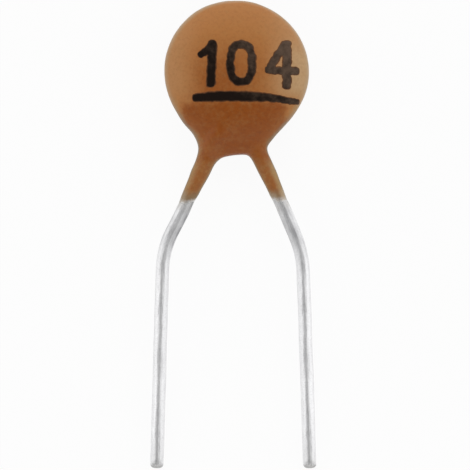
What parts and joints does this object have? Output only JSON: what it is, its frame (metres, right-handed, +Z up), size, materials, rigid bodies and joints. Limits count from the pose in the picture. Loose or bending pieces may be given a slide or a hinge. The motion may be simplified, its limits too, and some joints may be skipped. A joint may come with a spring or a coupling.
{
  "type": "ceramic disc capacitor",
  "caption": "Ceramic disc dipped in brown resin, with a pear-shaped neck, two coated legs and two tinned wire leads for a through-hole circuit board.",
  "frame": {"origin": "on the table under the middle of the part's box, with the part lying on its back", "axes": "+X to the right seen from above, +Y along the part from the lead tips towards the top of the disc, +Z up out of the disc's front face"},
  "size_m": [0.0056, 0.0156, 0.002],
  "materials": {
    "resin": "gloss dipped resin",
    "ceramic": "unglazed, ground",
    "silver": "matt fired silver",
    "solder": "satin",
    "tinned_wire": "satin tin plating"
  },
  "bodies": {
    "root": {"resin_coat": "resin", "ceramic_disc": "ceramic", "front_electrode": "silver", "back_electrode": "silver", "front_solder": "solder", "back_solder": "solder", "left_lead": "tinned_wire", "right_lead": "tinned_wire"}
  },
  "joints": []
}
